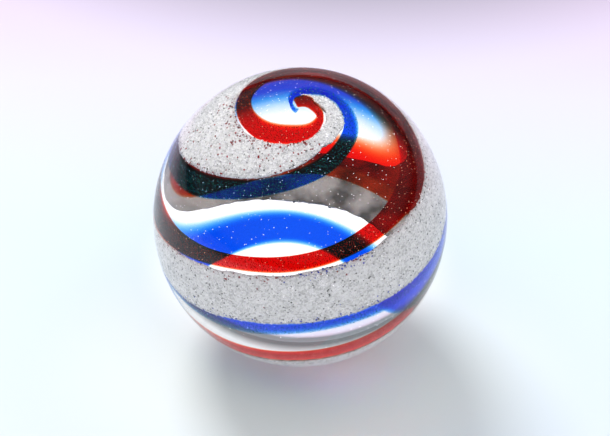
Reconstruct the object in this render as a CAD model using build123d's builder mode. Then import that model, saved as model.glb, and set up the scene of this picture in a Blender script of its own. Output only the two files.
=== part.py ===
from build123d import *
import cmath
import os
import numpy as np

# A handmade glass marble: a clear glass body with three bands of coloured glass twisted into it.
# Red glass, white frit and blue glass lie side by side in spirals, from a small hooked swirl at
# the top to a second swirl at the lower end, which leans away from the twist axis.
# The origin is the marble's centre, and +Z is the twist axis, towards the upper swirl.

# Overall size of the marble, in millimetres
equator_diameter = 25.0
twist_length = 25.9

# How deep each coloured glass lies in the clear glass, in millimetres
red_depth = 1.10
frit_depth = 1.00
blue_depth = 0.90

# Width over which the red and the blue glass thin out to nothing beside the clear glass
thinning_width = 0.45

# The lower swirl leans away from the twist axis, towards this clockwise turn, in degrees
lower_swirl_lean = 34.0
lower_swirl_turn = 178.0

# Edges of the bands as stations (turn, colatitude), in degrees, outwards along the spiral.
# Turns count clockwise from above, and colatitudes from the twist axis.
# The red glass starts as a hook round the top, whose two edges pair up station by station.
red_hook_outer = [(110, 4.3), (145, 4.1), (190, 3.9), (235, 3.85), (265, 3.9), (288, 5.9), (305, 8.8), (322, 12.0)]
red_hook_inner = [(80, 4.0), (48, 2.9), (15, 2.0), (345, 1.9), (325, 2.4), (319, 4.6), (321, 6.8), (328, 8.9)]
red_inner_edge = [
    (330, 9.0), (345, 10.5), (383, 12.7), (421, 17.0), (447, 19.9), (540, 27.0), (626, 35.3), (666, 44.7),
    (703, 51.4), (736, 57.6), (770, 66.7), (900, 80.0), (1050, 89.5), (1079, 92.1), (1110, 99.0), (1260, 115.0),
    (1440, 134.0), (1560, 148.5), (1606, 151.3), (1616, 151.0), (1636, 147.6), (1700, 154.0), (1760, 160.5),
]
red_outer_edge = [
    (322, 12.0), (339, 14.9), (360, 18.0), (385, 20.7), (405, 23.2), (446, 26.8), (540, 37.0), (628, 49.7),
    (649, 53.8), (686, 55.2), (720, 59.6), (744, 64.5), (768, 74.1), (784, 82.0), (900, 91.0), (1050, 95.2),
    (1079, 97.1), (1110, 105.0), (1260, 121.0), (1440, 139.5), (1591, 154.6), (1636, 153.2), (1700, 158.0),
    (1760, 161.3),
]
blue_inner_edge = [
    (20, 4.6), (60, 4.4), (89, 4.3), (138, 4.7), (180, 4.9), (216, 5.2), (239, 8.0), (272, 12.3), (302, 17.5),
    (322, 20.5), (341, 24.0), (360, 28.0), (378, 32.9), (414, 45.2), (441, 56.1), (455, 61.0), (540, 68.0),
    (663, 78.0), (690, 76.3), (712, 76.6), (734, 80.3), (756, 88.5), (900, 104.0), (1080, 116.0), (1260, 134.0),
    (1440, 149.0), (1583, 158.8), (1637, 160.3), (1740, 162.0), (1900, 168.0),
]
blue_outer_edge = [
    (20, 5.7), (35, 5.9), (89, 6.1), (119, 7.3), (180, 9.7), (242, 14.4), (273, 18.9), (303, 24.1), (323, 27.2),
    (341, 30.8), (360, 34.6), (378, 39.5), (395, 46.0), (412, 53.9), (430, 60.4), (445, 66.0), (540, 73.0),
    (689, 80.5), (705, 79.8), (719, 81.2), (734, 85.0), (748, 88.7), (900, 109.0), (1080, 121.5), (1260, 142.5),
    (1440, 157.0), (1573, 165.1), (1656, 166.4), (1800, 168.5), (1900, 169.5),
]

# Turns between which each band follows its edges, in degrees
red_turns = (337.0, 1760.0)
frit_turns = (165.0, 1740.0)
blue_turns = (20.0, 1900.0)

# Working values of the cuts: how far they stand out of the marble, the spacing of their sections in
# degrees, the widest thinning as a share of a band, and how far the frit's cut reaches into the red hook
surface_margin = 1.0
section_spacing = 15.0
widest_thinning = 0.4
hook_overlap = 1.0

equator_radius = equator_diameter / 2
half_length = twist_length / 2
lower_swirl = cmath.rect(
    float(np.tan(np.radians(180.0 - lower_swirl_lean) / 2)), float(np.radians(lower_swirl_turn))
)


def colatitude(edge, turn):
    """Colatitude of a band's edge at a turn, on a smooth curve through the edge's stations."""
    turns, values = np.array(edge, dtype=float).T
    slopes = np.gradient(values, turns)
    i = int(np.clip(np.searchsorted(turns, turn) - 1, 0, len(turns) - 2))
    span = turns[i + 1] - turns[i]
    u = (turn - turns[i]) / span
    start = (1 + 2 * u) * (1 - u) ** 2 * values[i] + u * (1 - u) ** 2 * span * slopes[i]
    end = u**2 * (3 - 2 * u) * values[i + 1] + u**2 * (u - 1) * span * slopes[i + 1]
    return float(start + end)


def on_surface(turn, colat):
    """Point of the marble's surface at a turn and colatitude of the twist, which bends to the lower swirl."""
    twist = cmath.rect(float(np.tan(np.radians(colat) / 2)), float(np.radians(turn)))
    plain = twist / (1 + twist / lower_swirl)
    from_top = 2 * float(np.arctan(abs(plain)))
    across = equator_radius * float(np.sin(from_top))
    angle = cmath.phase(plain)
    return Vector(-across * np.sin(angle), -across * np.cos(angle), half_length * np.cos(from_top))


def onto_surface(point):
    """The point of the marble's surface in the direction of a point."""
    share = (point.X / equator_radius) ** 2 + (point.Y / equator_radius) ** 2 + (point.Z / half_length) ** 2
    return point * (1 / share**0.5)


def band_section(inner, outer, depth, inner_slope=0.0, outer_slope=0.0):
    """Cross-section of a band's cut between two points of the surface, from its floor to outside the marble.

    A slope is the width over which the band thins out at that edge.
    """
    width = (outer - inner).length
    floor = 1 - depth / equator_radius
    above = 1 + surface_margin / equator_radius
    corners = []
    for start, end, slope in ((inner, outer, inner_slope), (outer, inner, outer_slope)):
        run = min(slope / width, widest_thinning)
        rise = run * surface_margin / depth
        low = onto_surface(start + (end - start) * run) * floor
        high = onto_surface(start - (end - start) * rise) * above
        corners.append((low, high))
    middle = onto_surface(inner + outer)
    plane = Plane(origin=(0, 0, 0), x_dir=inner, z_dir=inner.cross(outer))
    (inner_low, inner_high), (outer_low, outer_high) = corners
    low_arc = [plane.to_local_coords(p) for p in (inner_low, middle * floor, outer_low)]
    high_arc = [plane.to_local_coords(p) for p in (outer_high, middle * above, inner_high)]
    with BuildSketch(plane) as section:
        with BuildLine():
            ThreePointArc(*low_arc)
            Line(low_arc[-1], high_arc[0])
            ThreePointArc(*high_arc)
            Line(high_arc[-1], low_arc[0])
        make_face()
    return section.sketch


def spaced_turns(turns):
    """Evenly spaced turns from the first to the last."""
    count = round((turns[1] - turns[0]) / section_spacing) + 1
    return np.linspace(turns[0], turns[1], count)


def frit_inner(turn):
    """The frit's visible inner edge, along the outer edge of the red."""
    if turn < red_hook_outer[-1][0]:
        return colatitude(red_hook_outer, turn)
    return colatitude(red_outer_edge, turn)


def frit_cut_inner(turn):
    """Where the frit's cut starts: just inside the red hook, and then half way across the red ribbon."""
    if turn < red_turns[0]:
        return frit_inner(turn) - hook_overlap
    return (colatitude(red_inner_edge, turn) + frit_inner(turn)) / 2


def blue_cut_inner(turn):
    """Where the blue's cut starts: half way across the frit where there is frit, or else at its own edge."""
    own = colatitude(blue_inner_edge, turn)
    if turn < frit_turns[0] or turn > frit_turns[1]:
        return own
    return (frit_inner(turn) + own) / 2


# The marble's whole form: a ball slightly long in the direction of its twist
with BuildPart() as marble:
    with BuildSketch(Plane.XZ):
        with BuildLine():
            EllipticalCenterArc((0, 0), equator_radius, half_length, start_angle=-90, arc_size=180)
            Line((0, half_length), (0, -half_length))
        make_face()
    revolve(axis=Axis.Z)

# Cut of the red ribbon, from its hook round the top to the lower swirl
red_sections = [
    band_section(on_surface(*inner), on_surface(*outer), red_depth, inner_slope=thinning_width)
    for inner, outer in zip(red_hook_inner, red_hook_outer)
]
for turn in spaced_turns(red_turns):
    red_inner = on_surface(turn, colatitude(red_inner_edge, turn))
    red_outer = on_surface(turn, colatitude(red_outer_edge, turn))
    red_sections.append(band_section(red_inner, red_outer, red_depth, inner_slope=thinning_width))
with BuildPart() as red_cut:
    loft(red_sections)

# Cut of the frit band, which lies against the outer side of the red
frit_sections = []
for turn in spaced_turns(frit_turns):
    frit_start = on_surface(turn, frit_cut_inner(turn))
    frit_end = on_surface(turn, colatitude(blue_inner_edge, turn))
    frit_sections.append(band_section(frit_start, frit_end, frit_depth))
with BuildPart() as frit_cut:
    loft(frit_sections)

# Cut of the blue ribbon, which lies against the outer side of the frit
blue_sections = []
for turn in spaced_turns(blue_turns):
    blue_start = on_surface(turn, blue_cut_inner(turn))
    blue_end = on_surface(turn, colatitude(blue_outer_edge, turn))
    blue_sections.append(band_section(blue_start, blue_end, blue_depth, outer_slope=thinning_width))
with BuildPart() as blue_cut:
    loft(blue_sections)

with BuildPart() as red_glass_ribbon:
    add(marble.part)
    add(red_cut.part, mode=Mode.INTERSECT)

with BuildPart() as white_frit_band:
    add(marble.part)
    add(frit_cut.part, mode=Mode.INTERSECT)
    add(red_cut.part, mode=Mode.SUBTRACT)

with BuildPart() as blue_glass_ribbon:
    add(marble.part)
    add(blue_cut.part, mode=Mode.INTERSECT)
    add(frit_cut.part, mode=Mode.SUBTRACT)

# The clear glass fills everything that the three coloured glasses leave
with BuildPart() as clear_glass_body:
    add(marble.part)
    add(red_cut.part, mode=Mode.SUBTRACT)
    add(frit_cut.part, mode=Mode.SUBTRACT)
    add(blue_cut.part, mode=Mode.SUBTRACT)

clear_glass_body.part.label = "clear_glass_body"
red_glass_ribbon.part.label = "red_glass_ribbon"
white_frit_band.part.label = "white_frit_band"
blue_glass_ribbon.part.label = "blue_glass_ribbon"

os.makedirs("parts", exist_ok=True)
export_step(clear_glass_body.part, "parts/clear_glass_body.step")
export_step(red_glass_ribbon.part, "parts/red_glass_ribbon.step")
export_step(white_frit_band.part, "parts/white_frit_band.step")
export_step(blue_glass_ribbon.part, "parts/blue_glass_ribbon.step")
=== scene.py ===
import cmath
import math

import bmesh
import bpy
import numpy as np
from bpy.props import FloatProperty, FloatVectorProperty, IntProperty, PointerProperty
from mathutils import Matrix, Vector


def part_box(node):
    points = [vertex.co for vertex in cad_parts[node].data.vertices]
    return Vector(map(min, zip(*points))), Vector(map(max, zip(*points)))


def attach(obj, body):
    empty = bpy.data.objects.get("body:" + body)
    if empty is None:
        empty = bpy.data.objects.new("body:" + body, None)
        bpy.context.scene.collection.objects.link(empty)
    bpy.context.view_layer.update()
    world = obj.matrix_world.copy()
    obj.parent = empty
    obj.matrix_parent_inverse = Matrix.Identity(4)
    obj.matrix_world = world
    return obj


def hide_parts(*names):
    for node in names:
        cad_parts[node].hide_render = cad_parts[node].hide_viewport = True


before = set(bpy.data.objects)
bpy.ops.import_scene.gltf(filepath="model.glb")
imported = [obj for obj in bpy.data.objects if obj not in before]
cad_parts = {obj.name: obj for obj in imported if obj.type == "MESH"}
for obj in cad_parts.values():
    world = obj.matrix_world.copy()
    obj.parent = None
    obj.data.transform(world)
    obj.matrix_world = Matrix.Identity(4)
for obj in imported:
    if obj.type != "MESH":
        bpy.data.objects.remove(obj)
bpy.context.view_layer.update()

bl_info = {
    "name": "Swirl Marble",
    "version": (1, 0, 0),
    "blender": (4, 5, 0),
    "location": "3D View > Sidebar > Marble",
    "description": "A clear glass marble with red, white and blue bands twisted into its surface",
    "category": "Object",
}

MM = 0.001

# Radii of the ball. The bands are cut out of the clear glass, so only the four nodes together reach them
NODES = ("clear_glass_body", "red_glass_ribbon", "white_frit_band", "blue_glass_ribbon")
EQUATOR = max(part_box(node)[1].x for node in NODES)
TWIST = max(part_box(node)[1].z for node in NODES)
RADII = np.array([EQUATOR, EQUATOR, TWIST])

# How far the lower swirl leans from the twist axis, and towards which clockwise turn, in degrees
LOWER_LEAN = 34
LOWER_TURN = 178
LOWER_SWIRL = cmath.rect(math.tan(math.radians(180 - LOWER_LEAN) / 2), math.radians(LOWER_TURN))

# Edges of the bands as stations (turn, colatitude) in degrees, outwards along the spiral
RED_HOOK_OUTER = (
    (96, 4.3), (130, 4.2), (180, 3.9), (230, 3.85), (265, 3.9), (288, 5.9), (305, 8.8), (322, 12.0),
)
RED_HOOK_INNER = (
    (90, 4.2), (50, 2.9), (15, 2.0), (345, 1.9), (325, 2.4), (319, 4.6), (321, 6.8), (330, 9.0),
)
RED_INNER = (
    (330, 9.0), (345, 10.5), (383, 12.7), (421, 17.0), (447, 19.9), (540, 27.0), (626, 35.3),
    (666, 44.7), (703, 51.4), (736, 57.6), (770, 66.7), (900, 80.0), (1050, 89.5), (1079, 92.1),
    (1110, 99.0), (1260, 115.0), (1440, 134.0), (1560, 148.5), (1600, 150.4), (1618, 149.4),
    (1630, 147.5), (1637, 147.6), (1643, 148.3), (1650, 148.9), (1700, 154.0), (1760, 160.5),
)
RED_OUTER = (
    (322, 12.0), (339, 14.9), (360, 18.0), (385, 20.7), (405, 23.2), (446, 26.8), (540, 37.0),
    (628, 49.7), (649, 53.8), (686, 55.2), (720, 59.6), (744, 64.5), (768, 74.1), (784, 82.0),
    (900, 91.0), (1050, 95.2), (1079, 97.1), (1110, 105.0), (1260, 121.0), (1440, 139.5), (1591, 154.3),
    (1636, 152.8), (1655, 153.2), (1700, 157.4), (1760, 161.3),
)
BLUE_INNER = (
    (20, 4.6), (60, 4.4), (89, 4.3), (138, 4.7), (180, 4.9), (216, 5.2), (239, 8.0), (272, 12.3),
    (302, 17.5), (322, 20.5), (341, 24.0), (360, 28.0), (378, 32.9), (414, 45.2), (441, 56.1),
    (455, 61.0), (540, 68.0), (663, 78.0), (690, 76.3), (712, 76.6), (734, 80.3), (756, 88.5),
    (900, 104.0), (1080, 116.0), (1260, 134.0), (1440, 149.0), (1583, 158.8), (1637, 160.3),
    (1740, 162.0), (1900, 168.0),
)
BLUE_OUTER = (
    (20, 5.7), (35, 5.9), (89, 6.1), (119, 7.3), (180, 9.7), (242, 14.4), (273, 18.9), (303, 24.1),
    (323, 27.2), (341, 30.8), (360, 34.6), (378, 39.5), (395, 46.0), (412, 53.9), (430, 60.4),
    (445, 66.0), (540, 73.0), (689, 80.5), (705, 79.8), (719, 81.2), (734, 85.0), (748, 88.7),
    (900, 109.0), (1080, 121.5), (1260, 142.5), (1440, 157.0), (1573, 165.1), (1656, 166.4),
    (1800, 168.5), (1900, 169.5),
)

# The frit's inner edge beside the red hook, and on from there to the red ribbon's outer edge
FRIT_START = ((165, 4.1), (190, 3.95), (230, 3.95), (265, 4.0), (288, 6.0), (305, 8.9))
FRIT_JOIN = ((305, 8.9), (314, 10.6), (324, 12.4))

# Turns of the rows along the bands, in degrees, and the numbers of rows in the hook and in the frit's start
RED_TURNS = np.arange(324, 1757, 1.5)
FRIT_TURNS = np.arange(306, 1738, 1.0)
BLUE_TURNS = np.arange(20, 1898, 1.5)
HOOK_ROWS = 60
START_ROWS = 80

# Past the hook the red's rows slant: their inner ends are ahead by so many degrees, and that dies out over
# a length of turns, up to the turn where the rows are straight
SLANT = 8
SLANT_LENGTH = 36
SLANT_END = 360

# Clear glass beside the frit, as (turn, width) in degrees; where it is below nought, the frit overlaps
RED_GAP = (
    (150, 0.1), (265, 0.1), (285, 0.9), (300, 1.2), (315, 0.8), (330, 0.3), (370, 0.6), (410, 0.45),
    (450, 0.2), (640, 0.3), (670, 0.9), (700, 1.4), (722, 0.8), (745, 1.2), (756, 0.6), (765, -0.1),
    (900, -0.2), (1520, 0.2), (1590, -2.0), (1665, -2.0), (1700, 0.1), (1740, 0.1),
)
BLUE_GAP = (
    (150, 0.1), (312, 0.2), (328, 1.2), (340, 2.2), (352, 1.8), (365, 0.8), (385, 0.2), (414, 0.5),
    (430, 0.2), (700, 0.1), (1450, 0.3), (1560, 1.9), (1600, 1.3), (1620, 1.0), (1650, 1.8),
    (1700, 1.6), (1740, 0.8),
)

# Widths over which the ribbons thin out at their edges, as (turn, millimetres)
RED_INNER_THINNING = ((300, 0.45), (500, 0.4), (700, 0.3), (1300, 0.2), (1560, 0.1), (1760, 0.1))
RED_OUTER_THINNING = ((20, 0.12), (1900, 0.12))
BLUE_INNER_THINNING = ((20, 0.1), (400, 0.12), (1300, 0.15), (1560, 0.3), (1900, 0.3))
BLUE_OUTER_THINNING = ((20, 0.15), (340, 0.3), (500, 0.35), (1300, 0.3), (1560, 0.14), (1900, 0.14))

# Widest thinning at an edge, as a share of a band's width
WIDEST_FADE = 0.3

# Ribbons: places of the columns between their edges, and the lengths over which their two tips thin out
RIBBON_COLUMNS = np.array(
    [0, 0.02, 0.05, 0.09, 0.14, 0.2, 0.28, 0.38, 0.5, 0.62, 0.72, 0.8, 0.86, 0.91, 0.95, 0.98, 1]
)
RIBBON_TIPS = (0.35 * MM, 2 * MM)

# Dust in the ribbons: its columns, its least depth, and the turns over which it dies out, before the
# lower half that shows through the glass
DUST_COLUMNS = np.linspace(0.12, 0.95, 7)
DUST_SKIN = 0.07 * MM
DUST_END = 1150
DUST_FADE = 200

# Frit: its columns, the clear glass over its bed and over its grains, and the widths and lengths over
# which its edges and its two tips thin out
FRIT_COLUMNS = np.linspace(0, 1, 15)
BED_SKIN = 0.19 * MM
GRAIN_SKIN = 0.11 * MM
FRIT_THINNING = 0.10 * MM
FRIT_TIPS = (0.3 * MM, 1 * MM)

# Ragged edges of the frit: how far they stray, and the share of that which they lose past a turn
RAGGED = 0.09 * MM
RAGGED_LOSS = 0.55
RAGGED_TURN = 1200
RAGGED_FADE = 300

# Uneven clear glass beside the frit: its share of the width, what it loses past a turn, and how much of
# it there is beside the blue
UNEVEN = 0.35
UNEVEN_LOSS = 0.3
UNEVEN_TURN = 900
UNEVEN_FADE = 200
UNEVEN_BLUE = 0.7

# Rows from one random value to the next along the frit's edges, and the seeds
RED_GAP_WANDER = (5, 21)
BLUE_GAP_WANDER = (6, 22)
INNER_EDGE_WANDER = (2, 11)
OUTER_EDGE_WANDER = (2, 12)

# Grains in the frit: name, number per square metre, size as a share of the white grains', and roundness
GRAIN_KINDS = (
    ("frit_white_grains", 1.2e7, 1.0, False),
    ("frit_dark_grains", 2.4e6, 0.6, False),
    ("frit_red_grains", 5.5e6, 0.9, False),
    ("frit_blue_grains", 1.6e7, 0.8, False),
    ("frit_bubbles", 1.0e6, 0.5, True),
)

# Stray coloured grains lie beside the frit's edges: at which edge, how likely they are all along it and
# how much more between two turns, how far they reach, and the turns, each with the length of its change
STRAYS = {
    "frit_red_grains": (
        ("inner", 0, 1.7, 1.1 * MM, (335, 20), (480, 40)),
        ("outer", 0, 1.6, 0.35 * MM, (400, 12), (452, 15)),
        ("inner", 0.04, 0.3, 0.5 * MM, (600, 30), (850, 60)),
    ),
    "frit_blue_grains": (
        ("inner", 0, 1.4, 0.3 * MM, (690, 6), (727, 8)),
        ("outer", 0, 0.35, 0.3 * MM, (640, 20), (770, 20)),
    ),
}

# Fine bubbles: turns and colatitudes of their sheet, its depth, and how far below the equator they die
# out, as a share of the radius
BUBBLE_TURNS = np.radians(np.linspace(0, 360, 73))[None, :]
BUBBLE_COLATITUDES = np.radians(np.linspace(0.5, 115, 60))[:, None]
BUBBLE_SKIN = 0.05 * MM
BUBBLE_FADE = 0.4

# Pattern of fused grains: the share of each grain's own shade, where the rest is soft clouds, and the
# grains per metre
GRAIN_SHARE = 0.55
GRAIN_SCALE = 6500

# Shades of fused glass, grain by grain or in soft clouds: the pattern's output, its clouds per metre, and
# where on it the glass is darkest and lightest
GRAINY = ("Shade", 900, 0.2, 0.6)
CLOUDY = ("Clouds", 1300, 0.36, 0.64)

# Shades of small specks: changes per metre, where they are darkest and lightest, and the darkest shade
SPECK_SCALE = 4000.0
SPECK_RANGE = (0.3, 0.7)
SPECK_SHADE = 0.6

# Colours of the dim horizon and of the room over it, and the upward parts of a line of sight between
# which the one turns into the other
HORIZON = (0.17, 0.19, 0.21)
ROOM = (0.93, 0.95, 1)
HORIZON_HEIGHT = 0.04
ROOM_HEIGHT = 0.16

# Tints of the pale floor as (place, colour), between a distance before the marble and one behind it
FLOOR_FRONT = -20 * MM
FLOOR_BACK = 50 * MM
FLOOR_TINTS = (
    (0.0, (0.62, 0.67, 0.72)), (0.45, (0.60, 0.68, 0.73)),
    (0.75, (0.62, 0.60, 0.72)), (1.0, (0.60, 0.48, 0.62)),
)

# Soft ovals on the floor as (centre, radii, softness): the pale paper, beyond which the floor is painted
# dark as painted shade, and then with their colours painted shade at the far end, painted light that
# lightens the marble's shadow before it, and under it painted light where the marble would focus it and
# painted blue light and shade in two blues
PAPER = ((0, 0, 0), (110 * MM, 110 * MM), 0.5)
PAINTED_FLOOR_LIGHT_AND_SHADE = (
    # painted shade: the floor past the view is dark, so the glass shows dim surroundings
    (HORIZON, (2 * MM, 458 * MM, 0), (150 * MM, 412 * MM), 0.03),
    # painted light that lightens the marble's shadow before it
    ((0.72, 0.76, 0.74), (1 * MM, -6 * MM, 0), (17 * MM, 12 * MM), 0.5),
    # painted light where the marble would focus it
    ((0.95, 0.95, 0.95), (0, 8 * MM, 0), (11 * MM, 11 * MM), 0.35),
    # painted blue light as if cast through the blue ribbon, and within it painted shade tinted blue under
    # the marble
    ((0.02, 0.45, 0.9), (0, 4.5 * MM, 0), (8.5 * MM, 8.0 * MM), 0.12),
    ((0.0, 0.045, 0.62), (0, 4.5 * MM, 0), (7.5 * MM, 7.2 * MM), 0.12),
)

# How far the camera stands to the right of the marble's centre and below it, in millimetres
CAMERA_RIGHT = 0.41
CAMERA_DOWN = 0.06


class MarbleGlass(bpy.types.PropertyGroup):
    """Sizes and colours of the marble's glass."""

    skin: FloatProperty(name="Clear Skin", description="Clear glass over the ribbons",
                        default=0.03 * MM, subtype="DISTANCE", unit="LENGTH")
    red_depth: FloatProperty(name="Red Depth", description="Depth of the red glass",
                             default=1.1 * MM, subtype="DISTANCE", unit="LENGTH")
    blue_depth: FloatProperty(name="Blue Depth", description="Depth of the blue glass",
                              default=0.9 * MM, subtype="DISTANCE", unit="LENGTH")
    frit_depth: FloatProperty(name="Frit Depth", description="Depth of the bed of crushed white glass",
                              default=0.7 * MM, subtype="DISTANCE", unit="LENGTH")
    red: FloatVectorProperty(name="Red", description="Light that the red glass lets through",
                             default=(0.968, 0.38, 0.0), subtype="COLOR", min=0, max=1)
    red_strength: FloatProperty(name="Red Strength", description="Absorption of the red glass per metre",
                                default=14000, min=0)
    blue: FloatVectorProperty(name="Blue", description="Light that the blue glass lets through",
                              default=(0.0, 0.6, 0.953), subtype="COLOR", min=0, max=1)
    blue_strength: FloatProperty(name="Blue Strength", description="Absorption of the blue glass per metre",
                                 default=7000, min=0)


class MarbleDust(bpy.types.PropertyGroup):
    """Fine dust in the red and the blue ribbon."""

    red: FloatVectorProperty(name="Red Dust", description="Colour of the dust in the red ribbon",
                             default=(0.6, 0.13, 0.1), subtype="COLOR", min=0, max=1)
    blue: FloatVectorProperty(name="Blue Dust", description="Colour of the dust in the blue ribbon",
                              default=(0.05, 0.5, 0.27), subtype="COLOR", min=0, max=1)
    density: FloatProperty(name="Density", description="Grains of dust per square metre",
                           default=4.2e7, min=0)
    smallest: FloatProperty(name="Smallest Dust", description="Length of the smallest grains of dust",
                            default=0.03 * MM, subtype="DISTANCE", unit="LENGTH")
    largest: FloatProperty(name="Largest Dust", description="Length of the largest grains of dust",
                           default=0.07 * MM, subtype="DISTANCE", unit="LENGTH")
    sink: FloatProperty(name="Spread", description="Depth over which the dust is spread",
                        default=0.15 * MM, subtype="DISTANCE", unit="LENGTH")
    seed: IntProperty(name="Seed", description="Pattern of the dust", default=17)


class MarbleFrit(bpy.types.PropertyGroup):
    """Crushed white glass, and the grains and bubbles in it."""

    white: FloatVectorProperty(name="White", description="Colour of the white grains",
                               default=(0.96, 0.95, 0.97), subtype="COLOR", min=0, max=1)
    bed: FloatVectorProperty(name="Bed", description="Colour of the bed that the grains lie on",
                             default=(0.92, 0.91, 0.9), subtype="COLOR", min=0, max=1)
    underside: FloatVectorProperty(name="Underside", description="Colour of the bed from below",
                                   default=(0.85, 0.88, 0.78), subtype="COLOR", min=0, max=1)
    dark: FloatVectorProperty(name="Dark Grains", description="Colour of the dark grains",
                              default=(0.05, 0.045, 0.04), subtype="COLOR", min=0, max=1)
    red: FloatVectorProperty(name="Red Grains", description="Colour of the stray red grains",
                             default=(0.45, 0.02, 0.03), subtype="COLOR", min=0, max=1)
    blue: FloatVectorProperty(name="Blue Grains", description="Colour of the stray blue grains",
                              default=(0.03, 0.06, 0.75), subtype="COLOR", min=0, max=1)
    pale: FloatVectorProperty(name="Bubbles", description="Colour of the bubbles between the grains",
                              default=(0.9, 0.9, 0.9), subtype="COLOR", min=0, max=1)
    smallest: FloatProperty(name="Smallest Grain", description="Length of the smallest white grains",
                            default=0.06 * MM, subtype="DISTANCE", unit="LENGTH")
    largest: FloatProperty(name="Largest Grain", description="Length of the largest white grains",
                           default=0.17 * MM, subtype="DISTANCE", unit="LENGTH")
    sink: FloatProperty(name="Spread", description="Depth over which the grains are spread",
                        default=0.07 * MM, subtype="DISTANCE", unit="LENGTH")
    seed: IntProperty(name="Seed", description="Pattern of the grains", default=7)


class MarbleBubbles(bpy.types.PropertyGroup):
    """Fine bubbles just under the marble's surface."""

    density: FloatProperty(name="Density", description="Bubbles per square metre", default=1.8e6, min=0)
    smallest: FloatProperty(name="Smallest Bubble", description="Width of the smallest bubbles",
                            default=0.03 * MM, subtype="DISTANCE", unit="LENGTH")
    largest: FloatProperty(name="Largest Bubble", description="Width of the largest bubbles",
                           default=0.085 * MM, subtype="DISTANCE", unit="LENGTH")
    sink: FloatProperty(name="Spread", description="Depth over which the bubbles are spread",
                        default=0.10 * MM, subtype="DISTANCE", unit="LENGTH")
    seed: IntProperty(name="Seed", description="Pattern of the bubbles", default=27)


class MarbleStage(bpy.types.PropertyGroup):
    """The floor, the camera and the light."""

    floor_width: FloatProperty(name="Floor Width", description="Side of the pale floor",
                               default=1.6, subtype="DISTANCE", unit="LENGTH")
    camera_distance: FloatProperty(name="Camera Distance", description="From the marble's centre",
                                   default=0.3, subtype="DISTANCE", unit="LENGTH")
    camera_height: FloatProperty(name="Camera Angle", description="Angle of the camera above the floor",
                                 default=math.radians(42), subtype="ANGLE", unit="ROTATION")
    camera_roll: FloatProperty(name="Camera Roll", description="Tilt of the camera about its line of sight",
                               default=math.radians(2.1), subtype="ANGLE", unit="ROTATION")
    lens: FloatProperty(name="Lens", description="Focal length in millimetres", default=208.4)
    room_light: FloatProperty(name="Room Light", description="Brightness of the even room",
                              default=1.0, min=0)
    room_reflection: FloatProperty(name="Room Reflection",
                                   description="Brightness of the room in polished glass",
                                   default=0.2, min=0)
    lamp_place: FloatVectorProperty(name="Lamp Place", description="From the marble's centre",
                                    default=(-0.25, 0.45, 0.55), subtype="XYZ", unit="LENGTH")
    lamp_width: FloatProperty(name="Lamp Width", description="Width of the round lamp",
                              default=0.35, subtype="DISTANCE", unit="LENGTH")
    lamp_power: FloatProperty(name="Lamp Power", description="Power of the lamp",
                              default=5, min=0, unit="POWER")


def on_curve(stations, where):
    """Values on a smooth curve through stations (position, value), at the positions asked for."""
    at = np.array([s[0] for s in stations], dtype=float)
    values = np.array([s[1] for s in stations])
    slopes = np.gradient(values, at)
    i = np.clip(np.searchsorted(at, where) - 1, 0, len(at) - 2)
    span = at[i + 1] - at[i]
    u = (where - at[i]) / span
    start = (1 + 2 * u) * (1 - u) ** 2 * values[i] + u * (1 - u) ** 2 * span * slopes[i]
    end = u**2 * (3 - 2 * u) * values[i + 1] + u**2 * (u - 1) * span * slopes[i + 1]
    return start + end


def twist_point(colatitude, turn):
    """Complex number of a place in the double spiral, whose turns run clockwise seen from above."""
    return np.tan(np.radians(colatitude) / 2) * np.exp(1j * np.radians(turn))


def direction(twist):
    """Direction from the marble's centre of places in the double spiral."""
    plain = twist / (1 + twist / LOWER_SWIRL)
    from_top = 2 * np.arctan(np.abs(plain))
    angle = np.angle(plain)
    across = np.sin(from_top)
    return np.stack([-across * np.sin(angle), -across * np.cos(angle), np.cos(from_top)], axis=-1)


def edge_line(stations, turns):
    """A band's edge in the double spiral, at each turn."""
    return twist_point(on_curve(stations, turns), turns)


def hook_line(stations, count):
    """A short line in the double spiral through stations (turn, colatitude)."""
    points = [(i, complex(twist_point(colat, turn))) for i, (turn, colat) in enumerate(stations)]
    return on_curve(points, np.linspace(0, len(points) - 1, count))


def wander(count, every, seed):
    """Smooth random values between -1 and 1, one for each of count rows."""
    knots = np.random.default_rng(seed).uniform(-1, 1, count // every + 3)
    place = np.arange(count) / every
    i = place.astype(int)
    u = place - i
    u = u * u * (3 - 2 * u)
    return knots[i] * (1 - u) + knots[i + 1] * u


def sheet_points(inner, outer, across, depth):
    """Grid of points between two edges of a band, each at a depth under the marble's surface."""
    share = across[None, :, None]
    middle = inner[:, None] * (1 - share) + outer[:, None] * share
    middle /= np.linalg.norm(middle, axis=-1, keepdims=True)
    return middle * RADII * (1 - depth[..., None] / EQUATOR)


def fade(distance, width):
    """Share of the full depth at a distance from an edge that thins out over a width."""
    u = np.clip(distance / width, 0, 1)
    return u * u * (3 - 2 * u)


def band_depth(inner, outer, across, depth, inner_fade, outer_fade, tips):
    """Depth of a band over its rows and columns: thin at both edges and at both tips."""
    width = np.linalg.norm(outer - inner, axis=-1)[:, None] * EQUATOR
    from_inner = across[None, :] * width
    from_outer = (1 - across[None, :]) * width
    profile = fade(from_inner, np.minimum(inner_fade, width * WIDEST_FADE))
    profile *= fade(from_outer, np.minimum(outer_fade, width * WIDEST_FADE))
    middle = (inner + outer) / 2
    along = np.concatenate([[0], np.cumsum(np.linalg.norm(np.diff(middle, axis=0), axis=-1))]) * EQUATOR
    profile *= (fade(along, tips[0]) * fade(along[-1] - along, tips[1]))[:, None]
    return depth * profile


def mesh_object(name, points, faces, smooth=True):
    """A new mesh object at the origin."""
    mesh = bpy.data.meshes.new(name)
    mesh.from_pydata([tuple(p) for p in points], [], faces)
    mesh.update()
    if smooth:
        mesh.shade_smooth()
    piece = bpy.data.objects.new(name, mesh)
    bpy.context.collection.objects.link(piece)
    return piece


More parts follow.
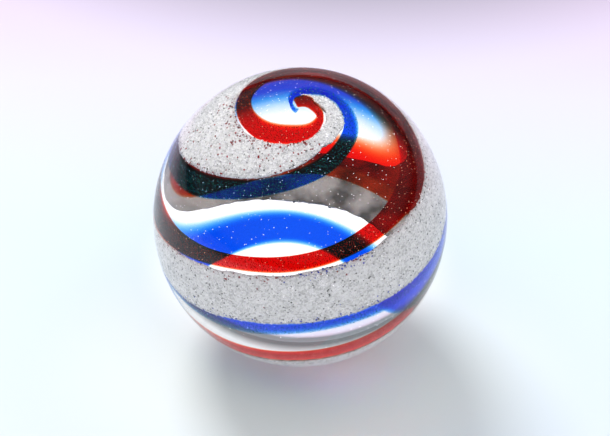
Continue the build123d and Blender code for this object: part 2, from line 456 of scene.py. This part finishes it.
def quads(index, order):
    """Four-sided faces over a grid of point numbers, with their corners in an order."""
    corners = np.stack([index[:-1, :-1], index[1:, :-1], index[1:, 1:], index[:-1, 1:]], axis=-1)
    return corners.reshape(-1, 4)[:, order].tolist()


def closed_band(name, top, bottom, materials):
    """A closed piece between two grids of points that share their rim, with materials above and below."""
    rows, columns = top.shape[:2]
    top_index = np.arange(rows * columns).reshape(rows, columns)
    bottom_index = top_index.copy()
    inner = (slice(1, -1), slice(1, -1))
    inner_index = rows * columns + np.arange((rows - 2) * (columns - 2))
    bottom_index[inner] = inner_index.reshape(rows - 2, columns - 2)
    points = np.concatenate([top.reshape(-1, 3), bottom[inner].reshape(-1, 3)])
    faces = quads(top_index, [0, 1, 2, 3]) + quads(bottom_index, [3, 2, 1, 0])
    piece = mesh_object(name, points, faces)
    for material in materials:
        piece.data.materials.append(material)
    material_index = np.repeat([0, len(materials) - 1], len(faces) // 2)
    piece.data.polygons.foreach_set("material_index", material_index)
    clean = bmesh.new()
    clean.from_mesh(piece.data)
    bmesh.ops.remove_doubles(clean, verts=clean.verts, dist=1e-7)
    bmesh.ops.recalc_face_normals(clean, faces=clean.faces)
    clean.to_mesh(piece.data)
    clean.free()
    return piece


def open_sheet(name, points, chance):
    """An open grid of points that carries grains, with their chance at each point."""
    rows, columns = points.shape[:2]
    index = np.arange(rows * columns).reshape(rows, columns)
    piece = mesh_object(name, points.reshape(-1, 3), quads(index, [0, 3, 2, 1]))
    layer = piece.data.attributes.new("chance", "FLOAT", "POINT")
    layer.data.foreach_set("value", chance.reshape(-1).astype(np.float32))
    return piece


def stand_for(piece, slot, *nodes):
    """Puts a finished piece under the marble's body and hides the solids that it stands for."""
    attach(piece, "root")
    if nodes:
        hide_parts(*nodes)


def red_edges():
    """Edges of the red ribbon, from the hook at the top to the lower swirl."""
    hook_inner = hook_line(RED_HOOK_INNER, HOOK_ROWS)
    hook_outer = hook_line(RED_HOOK_OUTER, HOOK_ROWS)
    slant = SLANT * np.clip((SLANT_END - RED_TURNS) / SLANT_LENGTH, 0, 1)
    inner_turns = np.maximum(RED_TURNS + slant, RED_INNER[0][0])
    inner = np.concatenate([hook_inner, edge_line(RED_INNER, inner_turns)])
    outer = np.concatenate([hook_outer, edge_line(RED_OUTER, RED_TURNS)])
    row_turns = np.concatenate([np.full(HOOK_ROWS, RED_TURNS[0]), RED_TURNS])
    return row_turns, direction(inner), direction(outer)


def frit_edges():
    """Edges of the bed of crushed glass, which lies between the red ribbon and the blue one."""
    start = hook_line(FRIT_START, START_ROWS)
    start_turns = np.linspace(FRIT_START[0][0], FRIT_START[-1][0], START_ROWS)
    joined = on_curve(FRIT_JOIN, FRIT_TURNS)
    beside_red = on_curve(RED_OUTER, np.maximum(FRIT_TURNS, RED_OUTER[0][0]))
    colatitudes = np.where(FRIT_TURNS < FRIT_JOIN[-1][0], joined, beside_red)
    inner = np.concatenate([start, twist_point(colatitudes, FRIT_TURNS)])
    row_turns = np.concatenate([start_turns, FRIT_TURNS])
    return row_turns, direction(inner), direction(edge_line(BLUE_INNER, row_turns))


def blue_edges():
    """Edges of the blue ribbon."""
    inner = edge_line(BLUE_INNER, BLUE_TURNS)
    outer = edge_line(BLUE_OUTER, BLUE_TURNS)
    return BLUE_TURNS, direction(inner), direction(outer)


def ribbon(name, edges, depth, skin, inner_thinning, outer_thinning, material):
    """One ribbon of coloured glass, under the marble's skin."""
    row_turns, inner, outer = edges
    inner_fade = on_curve(inner_thinning, row_turns)[:, None] * MM
    outer_fade = on_curve(outer_thinning, row_turns)[:, None] * MM
    depths = band_depth(inner, outer, RIBBON_COLUMNS, depth, inner_fade, outer_fade, RIBBON_TIPS)
    top = sheet_points(inner, outer, RIBBON_COLUMNS, np.full(depths.shape, skin))
    bottom = sheet_points(inner, outer, RIBBON_COLUMNS, skin + depths)
    return closed_band(name, top, bottom, [material])


def frit_lines(row_turns, inner, outer):
    """The frit's own ragged edges, which leave uneven clear glass beside the ribbons."""
    rows = len(row_turns)
    sideways = outer - inner
    sideways /= np.linalg.norm(sideways, axis=-1, keepdims=True)
    ragged = (RAGGED / EQUATOR) * (1 - RAGGED_LOSS * fade(row_turns - RAGGED_TURN, RAGGED_FADE))[:, None]
    inner_bites = (0.5 + 0.5 * wander(rows, *INNER_EDGE_WANDER))[:, None]
    outer_bites = (0.5 + 0.5 * wander(rows, *OUTER_EDGE_WANDER))[:, None]
    uneven = UNEVEN - UNEVEN_LOSS * fade(row_turns - UNEVEN_TURN, UNEVEN_FADE)
    red_share = 1 + uneven * wander(rows, *RED_GAP_WANDER)
    blue_share = 1 + UNEVEN_BLUE * uneven * wander(rows, *BLUE_GAP_WANDER)
    red_gap = np.radians(on_curve(RED_GAP, row_turns)) * red_share
    blue_gap = np.radians(on_curve(BLUE_GAP, row_turns)) * blue_share
    inner_line = inner + sideways * (red_gap[:, None] + ragged * inner_bites)
    outer_line = outer - sideways * (blue_gap[:, None] + ragged * outer_bites)
    return inner_line, outer_line


def stray_chance(patches, row_turns, from_inner, from_outer):
    """Chance of stray grains over the frit's rows and columns, in patches beside its edges."""
    chance = np.zeros(from_inner.shape)
    for edge, always, more, reach, (start, rise), (end, fall) in patches:
        distance = from_inner if edge == "inner" else from_outer
        between = fade(row_turns - start, rise) * fade(end - row_turns, fall)
        chance += np.exp(-distance / reach) * (always + more * between)[:, None]
    return chance


def principled(name, **values):
    """A material with one Principled shader whose plain values are set."""
    material = bpy.data.materials.new(name)
    material.use_nodes = True
    shader = material.node_tree.nodes["Principled BSDF"]
    for socket, value in values.items():
        shader.inputs[socket.replace("_", " ")].default_value = value
    return material, material.node_tree, shader


def add_node(tree, kind, **settings):
    """A new node with its settings and input values, by name."""
    node = tree.nodes.new(kind)
    for key, value in settings.items():
        if key in node.inputs:
            node.inputs[key].default_value = value
        else:
            setattr(node, key, value)
    return node


def grain_group():
    """Shared pattern of fused grains: their shades, soft clouds over them, and their height."""
    group = bpy.data.node_groups.get("fused_grains")
    if group:
        return group
    group = bpy.data.node_groups.new("fused_grains", "ShaderNodeTree")
    for name in ("Grain Scale", "Cloud Scale"):
        group.interface.new_socket(name, in_out="INPUT", socket_type="NodeSocketFloat")
    for name in ("Shade", "Clouds", "Height"):
        group.interface.new_socket(name, in_out="OUTPUT", socket_type="NodeSocketFloat")
    inputs = group.nodes.new("NodeGroupInput")
    outputs = group.nodes.new("NodeGroupOutput")
    place = group.nodes.new("ShaderNodeTexCoord")
    cells = add_node(group, "ShaderNodeTexVoronoi", feature="F1")
    cloud = add_node(group, "ShaderNodeTexNoise")
    shades = add_node(group, "ShaderNodeSeparateColor")
    soft = add_node(group, "ShaderNodeMath", operation="MULTIPLY")
    soft.inputs[1].default_value = 1 - GRAIN_SHARE
    mix = add_node(group, "ShaderNodeMath", operation="MULTIPLY_ADD")
    mix.inputs[1].default_value = GRAIN_SHARE
    link = group.links.new
    link(place.outputs["Object"], cells.inputs["Vector"])
    link(place.outputs["Object"], cloud.inputs["Vector"])
    link(inputs.outputs["Grain Scale"], cells.inputs["Scale"])
    link(inputs.outputs["Cloud Scale"], cloud.inputs["Scale"])
    link(cells.outputs["Color"], shades.inputs["Color"])
    link(cloud.outputs["Fac"], soft.inputs[0])
    link(shades.outputs["Red"], mix.inputs[0])
    link(soft.outputs[0], mix.inputs[2])
    link(mix.outputs[0], outputs.inputs["Shade"])
    link(cloud.outputs["Fac"], outputs.inputs["Clouds"])
    link(cells.outputs["Distance"], outputs.inputs["Height"])
    return group


def colour_ramp(tree, *stops):
    """A colour ramp through stops, each with its place and colour."""
    ramp = tree.nodes.new("ShaderNodeValToRGB")
    elements = ramp.color_ramp.elements
    for element, (place, colour) in zip(elements, (stops[0], stops[-1])):
        element.position = place
        element.color = (*colour, 1)
    for place, colour in stops[1:-1]:
        elements.new(place).color = (*colour, 1)
    return ramp


def clear_glass():
    """Polished clear glass."""
    glass = {"Base_Color": (1, 1, 1, 1), "Roughness": 0.0, "IOR": 1.5, "Transmission_Weight": 1.0}
    return principled("clear_glass", **glass)[0]


def ribbon_glass(name, colour, strength):
    """Coloured glass fused into the clear glass: it only takes light away on its way through."""
    material = bpy.data.materials.new(name)
    material.use_nodes = True
    tree = material.node_tree
    tree.nodes.remove(tree.nodes["Principled BSDF"])
    glass = add_node(tree, "ShaderNodeVolumeAbsorption", Color=(*colour, 1), Density=strength)
    tree.links.new(glass.outputs["Volume"], tree.nodes["Material Output"].inputs["Volume"])
    return material


def frit_material(name, colour, contrast, painted_glow, pattern=GRAINY):
    """Crushed glass, fused, whose grains stand a little proud, shaded grain by grain or in clouds, with a
    painted glow in its own colour that brightens it.
    """
    material, tree, shader = principled(name, Roughness=0.5, IOR=1.12, Emission_Strength=painted_glow)
    shades, cloud_scale, darkest, lightest = pattern
    grains = add_node(tree, "ShaderNodeGroup", node_tree=grain_group())
    grains.inputs["Grain Scale"].default_value = GRAIN_SCALE
    grains.inputs["Cloud Scale"].default_value = cloud_scale
    dark = tuple(c * (1 - contrast) for c in colour)
    ramp = colour_ramp(tree, (darkest, dark), (lightest, colour))
    bump = add_node(tree, "ShaderNodeBump", Strength=0.3, Distance=0.1 * MM)
    link = tree.links.new
    link(grains.outputs[shades], ramp.inputs["Fac"])
    link(ramp.outputs["Color"], shader.inputs["Base Color"])
    link(ramp.outputs["Color"], shader.inputs["Emission Color"])
    link(grains.outputs["Height"], bump.inputs["Height"])
    link(bump.outputs["Normal"], shader.inputs["Normal"])
    return material


def speck_material(name, colour, roughness=0.4):
    """Small coloured grains, a little uneven in shade."""
    material, tree, shader = principled(name, Roughness=roughness, IOR=1.2)
    place = tree.nodes.new("ShaderNodeTexCoord")
    shade = add_node(tree, "ShaderNodeTexNoise", Scale=SPECK_SCALE)
    dark = tuple(c * SPECK_SHADE for c in colour)
    ramp = colour_ramp(tree, (SPECK_RANGE[0], dark), (SPECK_RANGE[1], colour))
    tree.links.new(place.outputs["Object"], shade.inputs["Vector"])
    tree.links.new(shade.outputs["Fac"], ramp.inputs["Fac"])
    tree.links.new(ramp.outputs["Color"], shader.inputs["Base Color"])
    return material


def scatter_tree():
    """Geometry nodes that scatter grains over a sheet and sink them to random depths."""
    tree = bpy.data.node_groups.get("scattered_grains")
    if tree:
        return tree
    tree = bpy.data.node_groups.new("scattered_grains", "GeometryNodeTree")
    face = tree.interface
    face.new_socket("Geometry", in_out="INPUT", socket_type="NodeSocketGeometry")
    for name in ("Density", "Smallest", "Largest", "Sink"):
        face.new_socket(name, in_out="INPUT", socket_type="NodeSocketFloat")
    face.new_socket("Round", in_out="INPUT", socket_type="NodeSocketBool")
    face.new_socket("Seed", in_out="INPUT", socket_type="NodeSocketInt")
    face.new_socket("Material", in_out="INPUT", socket_type="NodeSocketMaterial")
    face.new_socket("Geometry", in_out="OUTPUT", socket_type="NodeSocketGeometry")
    link = tree.links.new
    inputs = tree.nodes.new("NodeGroupInput").outputs
    output = tree.nodes.new("NodeGroupOutput")
    chance = add_node(tree, "GeometryNodeInputNamedAttribute", data_type="FLOAT", Name="chance")
    density = add_node(tree, "ShaderNodeMath", operation="MULTIPLY")
    link(inputs["Density"], density.inputs[0])
    link(chance.outputs["Attribute"], density.inputs[1])
    spread = add_node(tree, "GeometryNodeDistributePointsOnFaces", distribute_method="RANDOM")
    link(inputs["Geometry"], spread.inputs["Mesh"])
    link(density.outputs[0], spread.inputs["Density"])
    link(inputs["Seed"], spread.inputs["Seed"])
    depth = add_node(tree, "FunctionNodeRandomValue", data_type="FLOAT")
    link(inputs["Sink"], depth.inputs[3])
    link(inputs["Seed"], depth.inputs["Seed"])
    down = add_node(tree, "ShaderNodeMath", operation="MULTIPLY")
    down.inputs[1].default_value = -1.0
    link(depth.outputs[1], down.inputs[0])
    place = tree.nodes.new("GeometryNodeInputPosition")
    outwards = add_node(tree, "ShaderNodeVectorMath", operation="NORMALIZE")
    link(place.outputs["Position"], outwards.inputs[0])
    offset = add_node(tree, "ShaderNodeVectorMath", operation="SCALE")
    link(outwards.outputs[0], offset.inputs[0])
    link(down.outputs[0], offset.inputs["Scale"])
    sunk = add_node(tree, "GeometryNodeSetPosition")
    link(spread.outputs["Points"], sunk.inputs["Geometry"])
    link(offset.outputs[0], sunk.inputs["Offset"])
    low = add_node(tree, "ShaderNodeCombineXYZ")
    high = add_node(tree, "ShaderNodeCombineXYZ")
    for axis in "XYZ":
        link(inputs["Smallest"], low.inputs[axis])
        link(inputs["Largest"], high.inputs[axis])
    size = add_node(tree, "FunctionNodeRandomValue", data_type="FLOAT_VECTOR")
    link(low.outputs[0], size.inputs[0])
    link(high.outputs[0], size.inputs[1])
    link(inputs["Seed"], size.inputs["Seed"])
    even = add_node(tree, "FunctionNodeRandomValue", data_type="FLOAT")
    link(inputs["Smallest"], even.inputs[2])
    link(inputs["Largest"], even.inputs[3])
    link(inputs["Seed"], even.inputs["Seed"])
    spin = add_node(tree, "FunctionNodeRandomValue", data_type="FLOAT_VECTOR")
    spin.inputs[1].default_value = (math.tau, math.tau, math.tau)
    link(inputs["Seed"], spin.inputs["Seed"])
    shard = add_node(tree, "GeometryNodeMeshCube", Size=(1, 1, 1))
    bead = add_node(tree, "GeometryNodeMeshIcoSphere", Radius=0.5, Subdivisions=1)
    shape = add_node(tree, "GeometryNodeSwitch", input_type="GEOMETRY")
    link(inputs["Round"], shape.inputs["Switch"])
    link(shard.outputs["Mesh"], shape.inputs["False"])
    link(bead.outputs["Mesh"], shape.inputs["True"])
    scale = add_node(tree, "GeometryNodeSwitch", input_type="VECTOR")
    link(inputs["Round"], scale.inputs["Switch"])
    link(size.outputs[0], scale.inputs["False"])
    link(even.outputs[1], scale.inputs["True"])
    grains = add_node(tree, "GeometryNodeInstanceOnPoints")
    link(sunk.outputs["Geometry"], grains.inputs["Points"])
    link(shape.outputs[0], grains.inputs["Instance"])
    link(spin.outputs[0], grains.inputs["Rotation"])
    link(scale.outputs[0], grains.inputs["Scale"])
    real = add_node(tree, "GeometryNodeRealizeInstances")
    link(grains.outputs["Instances"], real.inputs["Geometry"])
    finish = add_node(tree, "GeometryNodeSetMaterial")
    link(real.outputs["Geometry"], finish.inputs["Geometry"])
    link(inputs["Material"], finish.inputs["Material"])
    link(finish.outputs["Geometry"], output.inputs["Geometry"])
    return tree


def scatter(sheet, values):
    """Turns a sheet into the grains that the geometry nodes scatter over it, as one plain mesh."""
    tree = scatter_tree()
    nodes = sheet.modifiers.new("Grains", "NODES")
    nodes.node_group = tree
    for item in tree.interface.items_tree:
        if item.item_type == "SOCKET" and item.in_out == "INPUT" and item.name in values:
            nodes[item.identifier] = values[item.name]
    evaluated = sheet.evaluated_get(bpy.context.evaluated_depsgraph_get())
    mesh = bpy.data.meshes.new_from_object(evaluated)
    sheet.modifiers.remove(nodes)
    old = sheet.data
    sheet.data = mesh
    bpy.data.meshes.remove(old)
    mesh.name = sheet.name
    if not len(mesh.polygons):
        raise RuntimeError(f"no grains were made for {sheet.name}")
    return sheet


class MARBLE_OT_clear_glass(bpy.types.Operator):
    """Make the clear glass body, a ball a little longer along its twist"""

    bl_idname = "marble.clear_glass"
    bl_label = "Clear Glass"

    def execute(self, context):
        ball = bmesh.new()
        bmesh.ops.create_icosphere(ball, subdivisions=6, radius=1)
        bmesh.ops.scale(ball, vec=RADII.tolist(), verts=ball.verts)
        mesh = bpy.data.meshes.new("clear_glass")
        ball.to_mesh(mesh)
        ball.free()
        mesh.shade_smooth()
        mesh.materials.append(clear_glass())
        piece = bpy.data.objects.new("clear_glass", mesh)
        context.collection.objects.link(piece)
        stand_for(piece, "clear_glass", "clear_glass_body")
        return {"FINISHED"}


class MARBLE_OT_ribbons(bpy.types.Operator):
    """Make the red and the blue ribbon, with fine dust in each"""

    bl_idname = "marble.ribbons"
    bl_label = "Red and Blue Ribbons"

    def execute(self, context):
        glass = context.scene.marble_glass
        red_glass = ribbon_glass("red_glass", glass.red, glass.red_strength)
        thinning = (RED_INNER_THINNING, RED_OUTER_THINNING)
        red = ribbon("red_ribbon", red_edges(), glass.red_depth, glass.skin, *thinning, red_glass)
        stand_for(red, "red_glass", "red_glass_ribbon")
        blue_glass = ribbon_glass("blue_glass", glass.blue, glass.blue_strength)
        thinning = (BLUE_INNER_THINNING, BLUE_OUTER_THINNING)
        blue = ribbon("blue_ribbon", blue_edges(), glass.blue_depth, glass.skin, *thinning, blue_glass)
        stand_for(blue, "blue_glass", "blue_glass_ribbon")
        dust = context.scene.marble_dust
        dusts = (
            ("red_dust", "red_glass", red_edges(), dust.red),
            ("blue_dust", "blue_glass", blue_edges(), dust.blue),
        )
        for number, (name, slot, (row_turns, inner, outer), colour) in enumerate(dusts):
            depths = np.full((len(row_turns), len(DUST_COLUMNS)), DUST_SKIN)
            points = sheet_points(inner, outer, DUST_COLUMNS, depths)
            chance = fade(DUST_END - row_turns, DUST_FADE)[:, None] * np.ones(depths.shape)
            grains = scatter(open_sheet(name, points, chance), {
                "Density": dust.density, "Smallest": dust.smallest, "Largest": dust.largest,
                "Sink": dust.sink, "Round": False, "Seed": dust.seed + number,
                "Material": speck_material(name, colour),
            })
            stand_for(grains, slot)
        return {"FINISHED"}


class MARBLE_OT_frit(bpy.types.Operator):
    """Make the bed of crushed white glass and its grains"""

    bl_idname = "marble.frit"
    bl_label = "White Frit"

    def execute(self, context):
        frit = context.scene.marble_frit
        depth = context.scene.marble_glass.frit_depth
        row_turns, inner, outer = frit_edges()
        lines = frit_lines(row_turns, inner, outer)
        depths = band_depth(*lines, FRIT_COLUMNS, depth, FRIT_THINNING, FRIT_THINNING, FRIT_TIPS)
        top = sheet_points(*lines, FRIT_COLUMNS, np.full(depths.shape, BED_SKIN))
        bottom = sheet_points(*lines, FRIT_COLUMNS, BED_SKIN + depths)
        # The bed and its underside glow a little in their own colours: painted light that brightens the
        # frit
        above = frit_material("frit_bed", frit.bed, contrast=0.35, painted_glow=0.14)
        below = frit_material("frit_underside", frit.underside, contrast=0.75, painted_glow=0.19, pattern=CLOUDY)
        bed = closed_band("frit_bed", top, bottom, [above, below])
        stand_for(bed, "white_frit", "white_frit_band")
        materials = {
            # The white grains glow a little too: painted light
            "frit_white_grains": frit_material("frit_grains", frit.white, contrast=0.25, painted_glow=0.15),
            "frit_dark_grains": speck_material("dark_grains", frit.dark),
            "frit_red_grains": speck_material("red_grains", frit.red),
            "frit_blue_grains": speck_material("blue_grains", frit.blue),
            "frit_bubbles": speck_material("pale_beads", frit.pale, roughness=0.1),
        }
        grain_sheet = sheet_points(*lines, FRIT_COLUMNS, np.full(depths.shape, GRAIN_SKIN))
        width = np.linalg.norm(outer - inner, axis=-1)[:, None] * EQUATOR
        from_inner = FRIT_COLUMNS[None, :] * width
        for number, (name, density, share, bead) in enumerate(GRAIN_KINDS):
            chance = np.ones(depths.shape)
            if name in STRAYS:
                chance = stray_chance(STRAYS[name], row_turns, from_inner, width - from_inner)
            grains = scatter(open_sheet(name, grain_sheet, chance), {
                "Density": density, "Smallest": frit.smallest * share, "Largest": frit.largest * share,
                "Sink": frit.sink, "Round": bead, "Seed": frit.seed + number,
                "Material": materials[name],
            })
            stand_for(grains, "white_frit")
        return {"FINISHED"}


class MARBLE_OT_beads(bpy.types.Operator):
    """Make the fine bubbles just under the marble's upper surface, which glow as painted glints"""

    bl_idname = "marble.beads"
    bl_label = "Fine Bubbles"

    def execute(self, context):
        bubbles = context.scene.marble_bubbles
        level = np.cos(BUBBLE_COLATITUDES) + 0 * BUBBLE_TURNS
        across = -np.sin(BUBBLE_COLATITUDES)
        around = np.stack([across * np.sin(BUBBLE_TURNS), across * np.cos(BUBBLE_TURNS), level], axis=-1)
        points = around * RADII * (1 - BUBBLE_SKIN / EQUATOR)
        chance = fade(level + BUBBLE_FADE, BUBBLE_FADE)
        # The bubbles glow brightly: painted glints in the clear glass
        material = frit_material("painted_glint_beads", context.scene.marble_frit.white, contrast=0.1, painted_glow=1.2)
        beads = scatter(open_sheet("fine_beads", points, chance), {
            "Density": bubbles.density, "Smallest": bubbles.smallest, "Largest": bubbles.largest,
            "Sink": bubbles.sink, "Round": True, "Seed": bubbles.seed, "Material": material,
        })
        stand_for(beads, "clear_glass")
        return {"FINISHED"}


def soft_spot(tree, place, centre, radii, softness):
    """Mask of a soft oval on the floor, one inside it and nought outside."""
    shift = add_node(tree, "ShaderNodeMapping", vector_type="TEXTURE")
    shift.inputs["Location"].default_value = centre
    shift.inputs["Scale"].default_value = (*radii, 1)
    flat = add_node(tree, "ShaderNodeVectorMath", operation="MULTIPLY")
    flat.inputs[1].default_value = (1, 1, 0)
    reach = add_node(tree, "ShaderNodeVectorMath", operation="LENGTH")
    mask = add_node(tree, "ShaderNodeMapRange", interpolation_type="SMOOTHSTEP")
    mask.inputs["From Min"].default_value = 1 + softness
    mask.inputs["From Max"].default_value = 1 - softness
    tree.links.new(place.outputs["Object"], shift.inputs["Vector"])
    tree.links.new(shift.outputs["Vector"], flat.inputs[0])
    tree.links.new(flat.outputs[0], reach.inputs[0])
    tree.links.new(reach.outputs["Value"], mask.inputs["Value"])
    return mask.outputs["Result"]


def blend_colour(tree, mask, first, second):
    """Colour that goes from the first to the second with the mask."""
    mix = add_node(tree, "ShaderNodeMix", data_type="RGBA")
    tree.links.new(mask, mix.inputs["Factor"])
    for socket, colour in ((mix.inputs[6], first), (mix.inputs[7], second)):
        if isinstance(colour, tuple):
            socket.default_value = (*colour, 1)
        else:
            tree.links.new(colour, socket)
    return mix.outputs[2]


def mixed_floor():
    """Pale paper whose tint drifts to pink at the far side, on a floor painted dark beyond it as painted
    shade, with painted light and shade for what the marble would throw on it.
    """
    material, tree, shader = principled("pale_floor", Roughness=0.7, IOR=1.3)
    place = tree.nodes.new("ShaderNodeTexCoord")
    parts = tree.nodes.new("ShaderNodeSeparateXYZ")
    reach = add_node(tree, "ShaderNodeMapRange")
    reach.inputs["From Min"].default_value = FLOOR_FRONT
    reach.inputs["From Max"].default_value = FLOOR_BACK
    ramp = colour_ramp(tree, *FLOOR_TINTS)
    link = tree.links.new
    link(place.outputs["Object"], parts.inputs["Vector"])
    link(parts.outputs["Y"], reach.inputs["Value"])
    link(reach.outputs["Result"], ramp.inputs["Fac"])
    # Painted shade: beyond the pale paper the floor takes the dim horizon's colour
    colour = blend_colour(tree, soft_spot(tree, place, *PAPER), HORIZON, ramp.outputs["Color"])
    # Painted light and shade on the floor: a dark far end, light in the marble's shadow, its focused light
    # and its blue light
    for tint, *spot in PAINTED_FLOOR_LIGHT_AND_SHADE:
        colour = blend_colour(tree, soft_spot(tree, place, *spot), colour, tint)
    link(colour, shader.inputs["Base Color"])
    return material


def soft_room(light, reflection):
    """A pale room, darker at the height of the horizon, and dimmer where polished glass mirrors it."""
    world = bpy.data.worlds.new("soft_room")
    world.use_nodes = True
    tree = world.node_tree
    room = tree.nodes["Background"]
    place = tree.nodes.new("ShaderNodeTexCoord")
    parts = tree.nodes.new("ShaderNodeSeparateXYZ")
    heights = colour_ramp(tree, (HORIZON_HEIGHT, HORIZON), (ROOM_HEIGHT, ROOM))
    path = tree.nodes.new("ShaderNodeLightPath")
    mirrored = add_node(tree, "ShaderNodeMath", operation="SUBTRACT", use_clamp=True)
    dim = add_node(tree, "ShaderNodeMapRange")
    dim.inputs["To Min"].default_value = light
    dim.inputs["To Max"].default_value = reflection
    link = tree.links.new
    link(place.outputs["Object"], parts.inputs["Vector"])
    link(parts.outputs["Z"], heights.inputs["Fac"])
    link(heights.outputs["Color"], room.inputs["Color"])
    link(path.outputs["Is Glossy Ray"], mirrored.inputs[0])
    link(path.outputs["Is Transmission Ray"], mirrored.inputs[1])
    link(mirrored.outputs[0], dim.inputs["Value"])
    link(dim.outputs["Result"], room.inputs["Strength"])
    return world


def soft_light(name, place, width, power):
    """A large soft lamp that shines at the marble."""
    lamp = bpy.data.lights.new(name, "AREA")
    lamp.shape = "DISK"
    lamp.size = width
    lamp.energy = power
    holder = bpy.data.objects.new(name, lamp)
    holder.location = place
    holder.rotation_euler = (-Vector(place)).to_track_quat("-Z", "Y").to_euler()
    holder.visible_glossy = False
    bpy.context.collection.objects.link(holder)


class MARBLE_OT_stage(bpy.types.Operator):
    """Make the floor, the light and the camera"""

    bl_idname = "marble.stage"
    bl_label = "Stage"

    def execute(self, context):
        stage = context.scene.marble_stage
        half = stage.floor_width / 2
        corners = [(x * half, y * half, -TWIST) for x, y in ((-1, -1), (1, -1), (1, 1), (-1, 1))]
        floor = mesh_object("floor", corners, [(0, 1, 2, 3)], smooth=False)
        floor.data.materials.append(mixed_floor())
        context.scene.world = soft_room(stage.room_light, stage.room_reflection)
        context.scene.view_settings.view_transform = "Standard"
        soft_light("back_window", stage.lamp_place, stage.lamp_width, stage.lamp_power)
        angle = stage.camera_height
        back = Vector((0, -math.cos(angle), math.sin(angle)))
        level = Vector((1, 0, 0))
        rise = back.cross(level)
        right = level * math.cos(stage.camera_roll) + rise * math.sin(stage.camera_roll)
        up = back.cross(right)
        lens = bpy.data.cameras.new("camera")
        lens.sensor_width = 36
        lens.lens = stage.lens
        lens.clip_start = 0.01
        lens.clip_end = 10
        camera = bpy.data.objects.new("camera", lens)
        turn = Matrix((right, up, back)).transposed()
        aside = right * CAMERA_RIGHT * MM - up * CAMERA_DOWN * MM
        camera.matrix_world = Matrix.Translation(back * stage.camera_distance + aside) @ turn.to_4x4()
        context.collection.objects.link(camera)
        context.scene.camera = camera
        return {"FINISHED"}


class MARBLE_PT_panel(bpy.types.Panel):
    """Sizes, colours and steps of the marble"""

    bl_idname = "MARBLE_PT_panel"
    bl_label = "Swirl Marble"
    bl_space_type = "VIEW_3D"
    bl_region_type = "UI"
    bl_category = "Marble"

    def draw(self, context):
        for name in GROUPS:
            group = getattr(context.scene, name)
            for value in group.__annotations__:
                self.layout.prop(group, value)
        for step in OPERATORS:
            self.layout.operator(step.bl_idname)


GROUPS = {
    "marble_glass": MarbleGlass,
    "marble_dust": MarbleDust,
    "marble_frit": MarbleFrit,
    "marble_bubbles": MarbleBubbles,
    "marble_stage": MarbleStage,
}
OPERATORS = (MARBLE_OT_clear_glass, MARBLE_OT_ribbons, MARBLE_OT_frit, MARBLE_OT_beads, MARBLE_OT_stage)


def register():
    for name, group in GROUPS.items():
        bpy.utils.register_class(group)
        setattr(bpy.types.Scene, name, PointerProperty(type=group))
    for step in OPERATORS:
        bpy.utils.register_class(step)
    bpy.utils.register_class(MARBLE_PT_panel)


def unregister():
    bpy.utils.unregister_class(MARBLE_PT_panel)
    for step in OPERATORS:
        bpy.utils.unregister_class(step)
    for name, group in GROUPS.items():
        delattr(bpy.types.Scene, name)
        bpy.utils.unregister_class(group)


def main():
    register()
    bpy.ops.marble.clear_glass()
    bpy.ops.marble.ribbons()
    bpy.ops.marble.frit()
    bpy.ops.marble.beads()
    bpy.ops.marble.stage()


if __name__ == "__main__":
    main()
